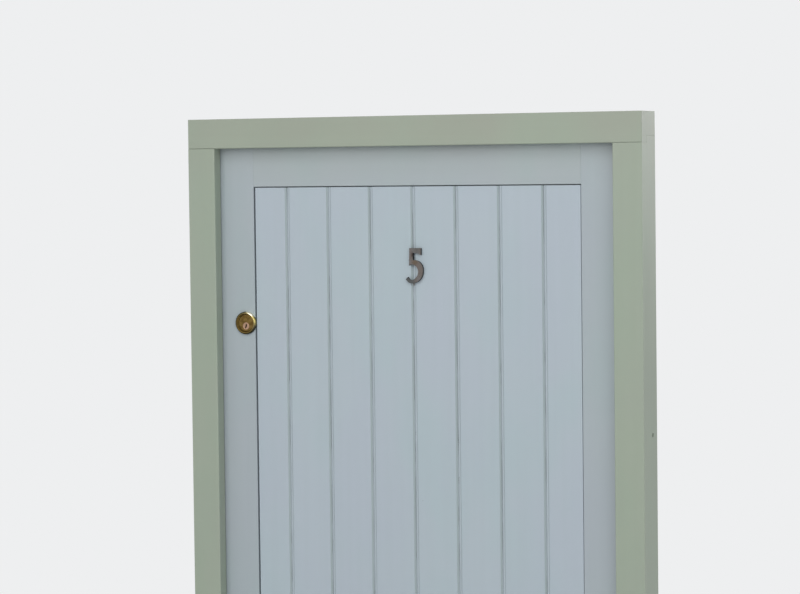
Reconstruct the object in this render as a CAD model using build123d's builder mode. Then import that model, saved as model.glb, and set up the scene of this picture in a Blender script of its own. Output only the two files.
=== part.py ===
from build123d import *
from math import atan2, cos, degrees, hypot, radians, sin
import os

# A dutch stable door hung in its frame, outside face towards -Y.
# Two framed, ledged and braced leaves close against one rebated frame and
# open inwards, towards +Y, on the hinges at +X. The lock edge is at -X.
# The origin is on the underside of the sill, midway between the jambs, in the
# plane of the frame's outer face.

# Leaves
leaf_width = 838.0
upper_leaf_height = 978.0
lower_leaf_height = 1000.0
leaf_thickness = 44.0
stile_face = 80.5
top_rail_face = 83.5
bottom_rail_height = 145.0
brace_width = 95.0

# Gaps round the leaves
side_gap = 3.0
head_gap = 3.0
meeting_gap = 3.0
sill_gap = 6.0
stop_gap = 0.5

# Frame
jamb_face = 57.0
head_face = 57.0
stop_width = 12.5
reveal_depth = 25.5
frame_arris = 2.0
frame_tenon_thickness = 16.0
frame_haunch = 15.0
sill_tenon_depth = 30.0
fixing_radius = 4.25
fixing_inset = 590.0

# Sill and water bar
sill_height = 58.0
sill_nose = 30.0
sill_fall = 9.0
sill_arris = 4.0
drip_width = 8.0
drip_depth = 5.0
drip_inset = 12.0
bar_thickness = 6.0
bar_chamfer = 1.2
bar_height = 25.0
bar_stand = 12.0
bar_setback = 5.0
bar_rebate_height = 14.0
bar_end_gap = 1.0

# Joinery of a leaf
tenon_thickness = 14.0
tenon_haunch = 32.0
twin_tenon_gap = 25.0
wedge_length = 60.0
wedge_thickness = 6.0

# Boards
board_cover = 88.5
board_thickness = 16.0
board_lap = 12.0
board_run_shift = 1.5
board_joint_gap = 0.4
board_lock_gap = 3.5
board_hinge_gap = 1.0
board_top_gap = 2.0
vee_width = 4.2
vee_depth = 3.8
tongue_thickness = 5.0
tongue_length = 7.0
groove_clearance = 0.3
groove_extra_depth = 1.5

# Weatherboards
weatherboard_height = 62.0
weatherboard_depth = 40.0
weatherboard_nose = 13.0
weatherboard_quirk = 7.0
weatherboard_sweep = 4.0
weatherboard_end_gap = 8.0
throat_width = 7.0
throat_depth = 4.0
throat_inset = 8.0

# Hinges
hinge_height = 100.0
hinge_rail_margin = 24.0
hinge_plate_reach = 32.0
hinge_plate_thickness = 2.5
knuckle_count = 3
knuckle_radius = 6.0
knuckle_end_gap = 0.4
knuckle_face_gap = 0.5
knuckle_notch_clearance = 0.4
pin_radius = 3.0
pin_fit = 0.05

# Lock cylinder
cylinder_backset = 61.0
cylinder_drop = 347.0
cylinder_radius = 15.75
cylinder_length = 30.0
cylinder_stand = 1.8
cylinder_hole_clearance = 0.5
ring_radius = 22.3
ring_height = 6.0
ring_crest_radius = 19.6
ring_lip = 2.2
ring_fit = 0.2
plug_radius = 6.9
plug_fit = 0.05
plug_drop = 6.0
plug_stand = 0.3
keyway_tilt = 16.0
keyway_height = 9.0
keyway_width = 2.2
keyway_ward = 1.4
keyway_ward_height = 3.0
keyway_depth = 24.0
tail_bar_width = 8.0
tail_bar_thickness = 2.4
tail_bar_seat = 5.0
tail_bar_reach = 12.0

# Night latch
latch_case_width = 88.0
latch_case_height = 64.0
latch_case_depth = 28.0
latch_case_corner = 6.0
latch_case_edge = 3.0
back_plate_margin = 2.5
back_plate_thickness = 2.0
back_plate_fit = 0.2
tail_bore_radius = 7.0
tail_bore_spare = 1.0
latch_bolt_height = 22.0
latch_bolt_thickness = 13.0
latch_bolt_length = 40.0
latch_bolt_throw = 14.0
latch_bolt_bevel = 9.0
latch_bolt_clearance = 0.3
latch_channel_spare = 2.0
knob_radius = 13.0
knob_turn = 45.0
knob_flange = 4.0
knob_wing_height = 14.0
knob_wing_thickness = 7.0
knob_wing_taper = 4.0
knob_spindle_radius = 4.0
knob_spindle_length = 9.0
knob_running_gap = 0.3
snib_backset = 24.0
snib_rise = 20.0
snib_length = 10.0
snib_width = 7.0
snib_height = 4.0
snib_taper = 8.0
snib_stem_width = 4.0
snib_stem_depth = 3.0
snib_travel = 6.0
snib_clearance = 0.3
latch_keep_height = 64.0
latch_keep_wall = 4.0
latch_keep_play = 1.5
latch_keep_end_play = 5.0

# Tower bolts and their keeps
tower_length = 96.0
tower_width = 32.0
tower_plate = 2.5
tower_end_gap = 1.0
guide_length = 16.0
guide_wall = 3.0
guide_chamfer = 1.0
shoot_size = 11.0
shoot_clearance = 0.3
shoot_throw = 18.0
shoot_tail = 8.0
shoot_nose_chamfer = 1.5
shoot_knob_radius = 7.0
shoot_stem_radius = 3.2
shoot_stem_height = 11.0
shoot_knob_height = 6.0
keep_play = 1.0
meeting_bolt_backset = 46.0
bottom_bolt_height = 72.0

# House number
numeral_height = 66.5
numeral_thickness = 6.0
numeral_drop = 151.0
numeral_offset = 5.0

# Heights
lower_bottom = sill_height + sill_gap
lower_top = lower_bottom + lower_leaf_height
upper_bottom = lower_top + meeting_gap
upper_top = upper_bottom + upper_leaf_height
head_rebate = upper_top + head_gap
daylight_top = head_rebate - stop_width
frame_top = daylight_top + head_face

# Depths, from the frame's outer face inwards
leaf_front = reveal_depth + stop_gap
board_back = leaf_front + board_thickness
leaf_back = leaf_front + leaf_thickness
frame_depth = leaf_back

# Half widths, from the door's middle line
leaf_half = leaf_width / 2
rebate_half = leaf_half + side_gap
daylight_half = rebate_half - stop_width
frame_half = daylight_half + jamb_face
panel_half = leaf_half - stile_face
rail_half = panel_half - board_lap

# Hinge pins
pin_x = leaf_half + side_gap / 2
pin_y = leaf_back + knuckle_radius + knuckle_face_gap
knuckle_pitch = hinge_height / knuckle_count
hinge_foot_inset = bottom_rail_height + hinge_rail_margin + hinge_height / 2
hinge_head_inset = top_rail_face + board_lap + hinge_rail_margin + hinge_height / 2
upper_hinges = [upper_bottom + hinge_foot_inset, upper_top - hinge_head_inset]
lower_hinges = [lower_bottom + hinge_foot_inset, lower_top - hinge_head_inset]

# Lock cylinder and latch places
cylinder_x = cylinder_backset - leaf_half
cylinder_z = upper_top - cylinder_drop
plug_z = cylinder_z - plug_drop
cylinder_front = leaf_front - cylinder_stand
cylinder_rear = cylinder_front + cylinder_length
latch_middle = leaf_back + (latch_case_depth + back_plate_thickness) / 2
latch_pocket = latch_bolt_throw - side_gap + latch_keep_end_play

# Boards: whole covers between two trimmed boards, the same in both leaves
board_count = max(3, round(2 * panel_half / board_cover))
edge_board = panel_half - (board_count - 2) * board_cover / 2
board_lines = [-panel_half]
for number in range(board_count - 1):
    board_lines.append(-panel_half + edge_board - board_run_shift + number * board_cover)
board_lines.append(panel_half)

os.makedirs("parts", exist_ok=True)


def save(piece, name):
    # Label a finished piece and write it
    piece.part.label = name
    export_step(piece.part, f"parts/{name}.step")


def depth_plane(y):
    # Upright plane at depth y: local X is X, local Y is Z, and it faces outside
    return Plane(origin=(0, y, 0), x_dir=(1, 0, 0), z_dir=(0, -1, 0))


def inner_plane(x, z):
    # Plane on the leaves' inner face at x, z: it faces inside, local X is +X
    return Plane(origin=(x, leaf_back, z), x_dir=(1, 0, 0), z_dir=(0, 1, 0))


# Frame sections


def head_section(start, arris):
    # Head rail in Y and Z from X start, with the rebate for the leaf underneath
    with BuildSketch(Plane.YZ.offset(start)) as section:
        with BuildLine():
            Polyline(
                (0, daylight_top),
                (reveal_depth, daylight_top),
                (reveal_depth, head_rebate),
                (frame_depth, head_rebate),
                (frame_depth, frame_top),
                (0, frame_top),
                close=True,
            )
        make_face()
        if arris:
            fillet(section.vertices().sort_by(Axis.Y)[:2], arris)
    return section.sketch


def sill_section(start):
    # Sill in Y and Z from X start, level under the leaf and falling to the nose outside
    with BuildSketch(Plane.YZ.offset(start)) as section:
        with BuildLine():
            Polyline(
                (-sill_nose, 0),
                (frame_depth, 0),
                (frame_depth, sill_height),
                (reveal_depth, sill_height),
                (-sill_nose, sill_height - sill_fall),
                close=True,
            )
        make_face()
        nose = section.vertices().sort_by(Axis.X)[:2].sort_by(Axis.Y)[-1]
        fillet(nose, sill_arris)
    return section.sketch


def jamb_tenon(side):
    # Tenon outline in X and Y, level with the bottom of its mortise in the sill
    width = frame_half - frame_haunch - rebate_half
    with BuildSketch(Plane.XY.offset(sill_height - sill_tenon_depth)) as outline:
        with Locations(
            (side * (rebate_half + width / 2), reveal_depth + frame_tenon_thickness / 2)
        ):
            Rectangle(width, frame_tenon_thickness)
    return outline.sketch


tenon_reach = frame_top - sill_height + sill_tenon_depth

# Head

with BuildPart() as frame_head:
    extrude(head_section(-frame_half, frame_arris), amount=2 * frame_half)
    for side in (-1, 1):
        extrude(jamb_tenon(side), amount=tenon_reach, mode=Mode.SUBTRACT)
save(frame_head, "frame_head")

# Sill and its water bar

bar_front = leaf_front + bar_setback
with BuildPart() as sill:
    extrude(sill_section(-frame_half), amount=2 * frame_half)
    for side in (-1, 1):
        extrude(jamb_tenon(side), amount=tenon_reach, mode=Mode.SUBTRACT)
    with BuildSketch(Plane.YZ.offset(-frame_half)):
        with Locations((-sill_nose + drip_inset + drip_width / 2, 0)):
            Rectangle(drip_width, 2 * drip_depth)
    extrude(amount=2 * frame_half, mode=Mode.SUBTRACT)
    bar_length = 2 * (rebate_half - bar_end_gap)
    with BuildSketch(Plane.XY.offset(sill_height + bar_stand - bar_height)):
        with Locations((0, bar_front + bar_thickness / 2)):
            Rectangle(bar_length, bar_thickness)
    extrude(amount=bar_height, mode=Mode.SUBTRACT)
save(sill, "sill")

with BuildPart() as water_bar:
    with BuildSketch(Plane.XY.offset(sill_height + bar_stand - bar_height)):
        with Locations((0, bar_front + bar_thickness / 2)):
            Rectangle(bar_length, bar_thickness)
    extrude(amount=bar_height)
    chamfer(water_bar.faces().sort_by(Axis.Z)[-1].edges().filter_by(Axis.X), bar_chamfer)
save(water_bar, "water_bar")

# Jambs, each fixed to the wall through two holes behind the leaf


def fixing_planes(side):
    # Where a jamb's wall fixings enter, on the face of its rebate
    y = (reveal_depth + frame_depth) / 2
    return [
        Plane(origin=(side * rebate_half, y, z), x_dir=(0, 0, 1), z_dir=(-side, 0, 0))
        for z in (fixing_inset, frame_top - fixing_inset)
    ]


def jamb(name, side, hinge_centres):
    # One jamb, shouldered to the head and the sill and tenoned into both
    cut_length = 2 * (frame_depth + frame_half)
    with BuildPart() as piece:
        with BuildSketch(Plane.XY) as section:
            with BuildLine():
                Polyline(
                    (side * frame_half, 0),
                    (side * daylight_half, 0),
                    (side * daylight_half, reveal_depth),
                    (side * rebate_half, reveal_depth),
                    (side * rebate_half, frame_depth),
                    (side * frame_half, frame_depth),
                    close=True,
                )
            make_face()
            arris = section.vertices().sort_by(Axis.X)
            arris = arris[-2:] if side < 0 else arris[:2]
            fillet(arris, frame_arris)
        extrude(amount=frame_top)
        extrude(head_section(-frame_depth - frame_half, 0), amount=cut_length, mode=Mode.SUBTRACT)
        extrude(sill_section(-frame_depth - frame_half), amount=cut_length, mode=Mode.SUBTRACT)
        extrude(jamb_tenon(side), amount=tenon_reach)
        for centre in hinge_centres:
            with BuildSketch(Plane.XY.offset(centre - hinge_height / 2)):
                with Locations(
                    (
                        side * (rebate_half + hinge_plate_thickness / 2),
                        leaf_back - hinge_plate_reach / 2,
                    )
                ):
                    Rectangle(hinge_plate_thickness, hinge_plate_reach)
            extrude(amount=hinge_height, mode=Mode.SUBTRACT)
        with Locations(*fixing_planes(side)):
            Hole(fixing_radius)
    save(piece, name)


jamb("lock_jamb", -1, [])
jamb("hinge_jamb", 1, upper_hinges + lower_hinges)

# Leaf joinery


def tenon_spans(low, high, haunch_above, count):
    # Heights of the tenons of a rail from low to high, with a haunch at one end
    if haunch_above:
        high -= tenon_haunch
    else:
        low += tenon_haunch
    tall = (high - low - (count - 1) * twin_tenon_gap) / count
    return [
        (low + i * (tall + twin_tenon_gap), low + i * (tall + twin_tenon_gap) + tall)
        for i in range(count)
    ]


def leaf_tenons(bottom, top):
    # Tenons of both rails of a leaf
    top_rail_low = top - top_rail_face - board_lap
    lower = tenon_spans(bottom, bottom + bottom_rail_height, False, 2)
    return lower, tenon_spans(top_rail_low, top, True, 1)


def mortise(side, low, high):
    # Mortise outline in X and Z, flared at the stile's edge for the wedges
    flare_start = side * (leaf_half - wedge_length)
    with BuildSketch(depth_plane(board_back + tenon_thickness)) as outline:
        with BuildLine():
            Polyline(
                (side * rail_half, low),
                (flare_start, low),
                (side * leaf_half, low - wedge_thickness),
                (side * leaf_half, high + wedge_thickness),
                (flare_start, high),
                (side * rail_half, high),
                close=True,
            )
        make_face()
    return outline.sketch


def wedge_pair(side, low, high):
    # The two wedges that spread one tenon's end
    flare_start = side * (leaf_half - wedge_length)
    with BuildSketch(depth_plane(board_back + tenon_thickness)) as outline:
        for edge, spread in ((low, -wedge_thickness), (high, wedge_thickness)):
            with BuildLine():
                Polyline(
                    (flare_start, edge),
                    (side * leaf_half, edge),
                    (side * leaf_half, edge + spread),
                    close=True,
                )
            make_face()
    return outline.sketch


def stile(name, side, bottom, top, hinge_centres, bar_rebate, bored):
    # One stile: side is -1 at the lock edge and 1 at the hinge edge
    lower_tenons, upper_tenons = leaf_tenons(bottom, top)
    with BuildPart() as piece:
        with BuildSketch(Plane.XY.offset(bottom)):
            with BuildLine():
                Polyline(
                    (side * leaf_half, leaf_front),
                    (side * panel_half, leaf_front),
                    (side * panel_half, board_back),
                    (side * rail_half, board_back),
                    (side * rail_half, leaf_back),
                    (side * leaf_half, leaf_back),
                    close=True,
                )
            make_face()
        extrude(amount=top - bottom)
        for low, high in lower_tenons + upper_tenons:
            extrude(mortise(side, low, high), amount=tenon_thickness, mode=Mode.SUBTRACT)
        if bar_rebate:
            with BuildSketch(Plane.XY.offset(bottom)):
                with Locations((side * leaf_half, leaf_front + board_thickness / 2)):
                    Rectangle(2 * stile_face, board_thickness)
            extrude(amount=bar_rebate_height, mode=Mode.SUBTRACT)
        for centre in hinge_centres:
            with BuildSketch(Plane.XY.offset(centre - hinge_height / 2)):
                with Locations(
                    (leaf_half - hinge_plate_thickness / 2, leaf_back - hinge_plate_reach / 2)
                ):
                    Rectangle(hinge_plate_thickness, hinge_plate_reach)
            extrude(amount=hinge_height, mode=Mode.SUBTRACT)
        if bored:
            with BuildSketch(depth_plane(leaf_back)):
                with Locations((cylinder_x, cylinder_z)):
                    Circle(cylinder_radius + cylinder_hole_clearance)
            extrude(amount=leaf_thickness, mode=Mode.SUBTRACT)
    save(piece, name)


def top_rail(name, bottom, top):
    # Full-thickness rail, rebated underneath for the boards and tenoned through
    tenons = leaf_tenons(bottom, top)[1]
    low = top - top_rail_face - board_lap
    with BuildPart() as piece:
        with BuildSketch(depth_plane(leaf_back)):
            with Locations((0, (low + top) / 2)):
                Rectangle(2 * rail_half, top - low)
        extrude(amount=leaf_back - board_back)
        with BuildSketch(depth_plane(board_back)):
            with Locations((0, top - top_rail_face / 2)):
                Rectangle(2 * panel_half, top_rail_face)
        extrude(amount=board_thickness)
        for tenon_low, tenon_high in tenons:
            with BuildSketch(depth_plane(board_back + tenon_thickness)):
                with Locations((0, (tenon_low + tenon_high) / 2)):
                    Rectangle(2 * leaf_half, tenon_high - tenon_low)
            extrude(amount=tenon_thickness)
    save(piece, name)


def bottom_rail(name, bottom, top):
    # Rail behind the boards, with bare-faced twin tenons
    tenons = leaf_tenons(bottom, top)[0]
    with BuildPart() as piece:
        with BuildSketch(depth_plane(leaf_back)):
            with Locations((0, bottom + bottom_rail_height / 2)):
                Rectangle(2 * rail_half, bottom_rail_height)
        extrude(amount=leaf_back - board_back)
        for tenon_low, tenon_high in tenons:
            with BuildSketch(depth_plane(board_back + tenon_thickness)):
                with Locations((0, (tenon_low + tenon_high) / 2)):
                    Rectangle(2 * leaf_half, tenon_high - tenon_low)
            extrude(amount=tenon_thickness)
    save(piece, name)


def brace(name, bottom, top):
    # Diagonal from the foot at the hinge side to the top rail at the lock side
    low = bottom + bottom_rail_height
    high = top - top_rail_face - board_lap
    slope = degrees(atan2(high - low, 2 * rail_half))
    with BuildPart() as piece:
        with BuildSketch(depth_plane(leaf_back)):
            with Locations((0, (low + high) / 2)):
                Rectangle(hypot(high - low, 2 * rail_half), brace_width, rotation=-slope)
                Rectangle(2 * rail_half, high - low, mode=Mode.INTERSECT)
        extrude(amount=leaf_back - board_back)
    save(piece, name)


def wedges(name, bottom, top):
    # All the wedges of one leaf
    lower_tenons, upper_tenons = leaf_tenons(bottom, top)
    with BuildPart() as piece:
        for side in (-1, 1):
            for low, high in lower_tenons + upper_tenons:
                extrude(wedge_pair(side, low, high), amount=tenon_thickness)
    save(piece, name)


def board(name, number, low, high):
    # One tongued, grooved and V-jointed board; the two outer ones are trimmed square
    first = number == 0
    last = number == board_count - 1
    left = board_lines[number] + (board_lock_gap if first else board_joint_gap / 2)
    right = board_lines[number + 1] - (board_hinge_gap if last else board_joint_gap / 2)
    tongue_middle = (leaf_front + vee_depth + board_back) / 2
    tongue_front = tongue_middle - tongue_thickness / 2
    tongue_rear = tongue_middle + tongue_thickness / 2
    groove_depth = tongue_length + groove_extra_depth
    if first:
        outline = [(left, board_back), (left, leaf_front)]
    else:
        outline = [
            (left, board_back),
            (left, tongue_rear + groove_clearance),
            (left + groove_depth, tongue_rear + groove_clearance),
            (left + groove_depth, tongue_front - groove_clearance),
            (left, tongue_front - groove_clearance),
            (left, leaf_front + vee_depth),
            (left + vee_width, leaf_front),
        ]
    if last:
        outline += [(right, leaf_front), (right, board_back)]
    else:
        outline += [
            (right - vee_width, leaf_front),
            (right, leaf_front + vee_depth),
            (right, tongue_front),
            (right + tongue_length, tongue_front),
            (right + tongue_length, tongue_rear),
            (right, tongue_rear),
            (right, board_back),
        ]
    with BuildPart() as piece:
        with BuildSketch(Plane.XY.offset(low)):
            with BuildLine():
                Polyline(*outline, close=True)
            make_face()
        extrude(amount=high - low)
    save(piece, name)


def weatherboard(name, low):
    # Drip moulding on the leaf's outer face, hollowed above and throated below
    half = daylight_half - weatherboard_end_gap
    high = low + weatherboard_height
    nose = leaf_front - weatherboard_depth
    nose_top = low + weatherboard_nose
    quirk = leaf_front - weatherboard_quirk
    with BuildPart() as piece:
        with BuildSketch(Plane.YZ.offset(-half)):
            with BuildLine():
                Line((leaf_front, low), (nose, low))
                Line((nose, low), (nose, nose_top))
                SagittaArc((nose, nose_top), (quirk, high), -weatherboard_sweep)
                Line((quirk, high), (leaf_front, high))
                Line((leaf_front, high), (leaf_front, low))
            make_face()
            with Locations((nose + throat_inset + throat_width / 2, low)):
                Rectangle(throat_width, 2 * throat_depth, mode=Mode.SUBTRACT)
        extrude(amount=2 * half)
    save(piece, name)


# House number: a cast five

numeral_x = board_lines[board_count // 2] + numeral_offset
numeral_z = upper_top - top_rail_face - numeral_drop
numeral_unit = numeral_height / 2
stem_left, stem_right, stem_foot = -0.29, -0.08, 0.31
bar_right, bar_inner, bar_end, bar_hollow = 0.42, 0.72, 0.6, 0.02
bowl_outer = [(stem_right, stem_foot), (0.34, 0.2), (0.54, -0.26)]
bowl_outer += [(0.39, -0.74), (-0.1, -1.0), (-0.35, -0.94), (-0.52, -0.76)]
bowl_inner = [(-0.4, -0.64), (-0.29, -0.77), (-0.14, -0.81), (0.14, -0.63), (0.25, -0.33)]
bowl_inner += [(0.14, -0.06), (-0.1, 0.07), (-0.22, 0.055), (-0.31, 0.0)]


def numeral_point(x, z):
    # A point of the five, given in half heights from its middle
    return (numeral_x + x * numeral_unit, numeral_z + z * numeral_unit)


def numeral_arcs(points):
    # Arcs end to end, each through the point between its two ends
    places = [numeral_point(x, z) for x, z in points]
    for start in range(0, len(places) - 2, 2):
        ThreePointArc(*places[start : start + 3])


with BuildPart() as house_number:
    with BuildSketch(depth_plane(leaf_front)):
        with BuildLine():
            Polyline(
                numeral_point(*bowl_inner[-1]),
                numeral_point(stem_left, 1),
                numeral_point(bar_right, 1),
                numeral_point(bar_right, bar_end),
            )
            ThreePointArc(
                numeral_point(bar_right, bar_end),
                numeral_point((bar_right + stem_right) / 2, bar_inner - bar_hollow),
                numeral_point(stem_right, bar_inner),
            )
            Line(numeral_point(stem_right, bar_inner), numeral_point(stem_right, stem_foot))
            numeral_arcs(bowl_outer)
            Line(numeral_point(*bowl_outer[-1]), numeral_point(*bowl_inner[0]))
            numeral_arcs(bowl_inner)
        make_face()
    extrude(amount=numeral_thickness)
save(house_number, "house_number")

# Both leaves

for leaf, low, high, hinges in (
    ("upper", upper_bottom, upper_top, upper_hinges),
    ("lower", lower_bottom, lower_top, lower_hinges),
):
    is_upper = leaf == "upper"
    board_low = low if is_upper else low + bar_rebate_height
    stile(f"{leaf}_lock_stile", -1, low, high, [], not is_upper, is_upper)
    stile(f"{leaf}_hinge_stile", 1, low, high, hinges, not is_upper, False)
    top_rail(f"{leaf}_top_rail", low, high)
    bottom_rail(f"{leaf}_bottom_rail", low, high)
    brace(f"{leaf}_brace", low, high)
    wedges(f"{leaf}_wedges", low, high)
    for number in range(board_count):
        board(
            f"{leaf}_board_{number + 1}", number, board_low, high - top_rail_face - board_top_gap
        )
    weatherboard(f"{leaf}_weatherboard", board_low)

# Hinges: the pins are riveted into the knuckles on the frame


def hinge_leaves(name, centres, inner_x, outer_x, kept, pinned):
    # Hinge plates between two X faces, with the knuckles whose numbers are kept: pinned
    # ones carry the pins, the others are bored for them
    with BuildPart() as piece:
        for centre in centres:
            foot = centre - hinge_height / 2
            with BuildSketch(Plane.XY.offset(foot)):
                with Locations(
                    ((inner_x + outer_x) / 2, (leaf_back - hinge_plate_reach + pin_y) / 2)
                ):
                    Rectangle(outer_x - inner_x, pin_y - leaf_back + hinge_plate_reach)
            extrude(amount=hinge_height)
            for number in range(knuckle_count):
                base = foot + number * knuckle_pitch
                if number in kept:
                    with BuildSketch(Plane.XY.offset(base + knuckle_end_gap / 2)):
                        with Locations((pin_x, pin_y)):
                            Circle(knuckle_radius)
                    extrude(amount=knuckle_pitch - knuckle_end_gap)
                else:
                    with BuildSketch(Plane.XY.offset(base)):
                        with Locations((pin_x, pin_y)):
                            Circle(knuckle_radius + knuckle_notch_clearance)
                    extrude(amount=knuckle_pitch, mode=Mode.SUBTRACT)
            with BuildSketch(Plane.XY.offset(foot + knuckle_pitch / 2)):
                with Locations((pin_x, pin_y)):
                    Circle(pin_radius if pinned else pin_radius + pin_fit)
            extrude(
                amount=hinge_height - knuckle_pitch, mode=Mode.ADD if pinned else Mode.SUBTRACT
            )
    save(piece, name)


frame_knuckles = range(0, knuckle_count, 2)
leaf_knuckles = range(1, knuckle_count, 2)
frame_plate = rebate_half + hinge_plate_thickness
leaf_plate = leaf_half - hinge_plate_thickness

hinge_leaves(
    "frame_hinge_leaves",
    lower_hinges + upper_hinges,
    rebate_half,
    frame_plate,
    frame_knuckles,
    True,
)
hinge_leaves("upper_hinge_leaves", upper_hinges, leaf_plate, leaf_half, leaf_knuckles, False)
hinge_leaves("lower_hinge_leaves", lower_hinges, leaf_plate, leaf_half, leaf_knuckles, False)

# Lock cylinder

ring_bore = cylinder_radius + ring_fit
cylinder_axis = Axis((cylinder_x, leaf_front, cylinder_z), (0, 1, 0))
with BuildPart() as cylinder_ring:
    with BuildSketch(Plane(origin=(cylinder_x, leaf_front, cylinder_z), z_dir=(0, 0, 1))):
        with BuildLine():
            Polyline(
                (ring_bore, 0),
                (ring_radius, 0),
                (ring_crest_radius, -ring_height),
                (ring_bore, -ring_lip),
                close=True,
            )
        make_face()
    revolve(axis=cylinder_axis)
save(cylinder_ring, "cylinder_ring")

with BuildPart() as cylinder_body:
    with BuildSketch(depth_plane(cylinder_rear)):
        with Locations((cylinder_x, cylinder_z)):
            Circle(cylinder_radius)
        with Locations((cylinder_x, plug_z)):
            Circle(plug_radius + plug_fit, mode=Mode.SUBTRACT)
    extrude(amount=cylinder_length)
save(cylinder_body, "cylinder_body")

plug_face = cylinder_front - plug_stand
keyway_plane = Plane(
    origin=(cylinder_x, plug_face, plug_z),
    x_dir=(cos(radians(keyway_tilt)), 0, -sin(radians(keyway_tilt))),
    z_dir=(0, -1, 0),
)
tail_end = leaf_back + back_plate_thickness + tail_bar_reach
with BuildPart() as cylinder_plug:
    with BuildSketch(depth_plane(cylinder_rear)):
        with Locations((cylinder_x, plug_z)):
            Circle(plug_radius)
    extrude(amount=cylinder_rear - plug_face)
    with BuildSketch(keyway_plane):
        Rectangle(keyway_width, keyway_height)
        with Locations((keyway_width / 2, 0)):
            Rectangle(keyway_ward, keyway_ward_height)
    extrude(amount=-keyway_depth, mode=Mode.SUBTRACT)
    with BuildSketch(depth_plane(cylinder_rear)):
        with Locations((cylinder_x, plug_z)):
            Rectangle(tail_bar_thickness, tail_bar_width)
    extrude(amount=tail_bar_seat, mode=Mode.SUBTRACT)
save(cylinder_plug, "cylinder_plug")

with BuildPart() as cylinder_tail_bar:
    with BuildSketch(depth_plane(tail_end)):
        with Locations((cylinder_x, plug_z)):
            Rectangle(tail_bar_thickness, tail_bar_width)
    extrude(amount=tail_end - cylinder_rear + tail_bar_seat)
    chamfer(
        cylinder_tail_bar.faces().sort_by(Axis.Y)[-1].edges().filter_by(Axis.X),
        tail_bar_thickness / 2,
    )
save(cylinder_tail_bar, "cylinder_tail_bar")

# Night latch

case_middle_x = latch_case_width / 2 - leaf_half
case_plane = inner_plane(case_middle_x, cylinder_z)
plate_width = latch_case_width - 2 * back_plate_margin
plate_height = latch_case_height - 2 * back_plate_margin

with BuildPart() as latch_back_plate:
    with BuildSketch(case_plane):
        Rectangle(plate_width, plate_height)
    extrude(amount=back_plate_thickness)
    with BuildSketch(inner_plane(cylinder_x, plug_z)):
        Circle(tail_bore_radius)
    extrude(amount=back_plate_thickness, mode=Mode.SUBTRACT)
save(latch_back_plate, "latch_back_plate")

channel_height = latch_bolt_height + 2 * latch_bolt_clearance
channel_thickness = latch_bolt_thickness + 2 * latch_bolt_clearance
channel_length = latch_bolt_length + latch_channel_spare
snib_x = snib_backset - leaf_half
snib_z = cylinder_z + snib_rise

with BuildPart() as latch_case:
    with BuildSketch(case_plane):
        Rectangle(latch_case_width, latch_case_height)
    extrude(amount=latch_case_depth)
    fillet(latch_case.edges().filter_by(Axis.Y), latch_case_corner)
    chamfer(latch_case.faces().sort_by(Axis.Y)[-1].edges(), latch_case_edge)
    with BuildSketch(case_plane):
        Rectangle(plate_width + 2 * back_plate_fit, plate_height + 2 * back_plate_fit)
    extrude(amount=back_plate_thickness, mode=Mode.SUBTRACT)
    with BuildSketch(Plane.YZ.offset(-leaf_half)):
        with Locations((latch_middle, cylinder_z)):
            Rectangle(channel_thickness, channel_height)
    extrude(amount=channel_length, mode=Mode.SUBTRACT)
    with BuildSketch(inner_plane(cylinder_x, plug_z)):
        Rectangle(2 * tail_bore_radius, 2 * tail_bore_radius)
    extrude(amount=back_plate_thickness + tail_bar_reach + tail_bore_spare, mode=Mode.SUBTRACT)
    with BuildSketch(inner_plane(cylinder_x, cylinder_z).offset(latch_case_depth)):
        Circle(knob_spindle_radius + pin_fit)
    extrude(amount=-(knob_spindle_length + knob_running_gap), mode=Mode.SUBTRACT)
    with BuildSketch(inner_plane(snib_x + snib_travel / 2, snib_z).offset(latch_case_depth)):
        Rectangle(
            snib_stem_width + snib_travel + 2 * snib_clearance, snib_stem_width + 2 * snib_clearance
        )
    extrude(amount=-(snib_stem_depth + snib_clearance), mode=Mode.SUBTRACT)
save(latch_case, "latch_case")

with BuildPart() as latch_bolt:
    with BuildSketch(Plane.YZ.offset(-leaf_half)):
        with Locations((latch_middle, cylinder_z)):
            Rectangle(latch_bolt_thickness, latch_bolt_height)
    extrude(amount=latch_bolt_length)
    nose = latch_bolt.faces().sort_by(Axis.X)[0].edges().filter_by(Axis.Z).sort_by(Axis.Y)[0]
    chamfer(nose, latch_bolt_bevel)
save(latch_bolt, "latch_bolt")

with BuildPart() as latch_knob:
    with BuildSketch(inner_plane(cylinder_x, cylinder_z).offset(latch_case_depth)):
        Circle(knob_spindle_radius)
    extrude(amount=knob_running_gap)
    extrude(latch_knob.faces().sort_by(Axis.Y)[0], amount=knob_spindle_length)
    with BuildSketch(
        inner_plane(cylinder_x, cylinder_z).offset(latch_case_depth + knob_running_gap)
    ):
        Circle(knob_radius)
    extrude(amount=knob_flange)
    with BuildSketch(
        inner_plane(cylinder_x, cylinder_z).offset(
            latch_case_depth + knob_running_gap + knob_flange
        )
    ):
        Rectangle(2 * knob_radius - knob_flange, knob_wing_thickness, rotation=90 + knob_turn)
    extrude(amount=knob_wing_height, taper=knob_wing_taper)
save(latch_knob, "latch_knob")

with BuildPart() as latch_snib:
    with BuildSketch(inner_plane(snib_x, snib_z).offset(latch_case_depth)):
        Rectangle(snib_length, snib_width)
    extrude(amount=snib_height, taper=snib_taper)
    with BuildSketch(inner_plane(snib_x, snib_z).offset(latch_case_depth)):
        Rectangle(snib_stem_width, snib_stem_width)
    extrude(amount=-snib_stem_depth)
save(latch_snib, "latch_snib")

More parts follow.
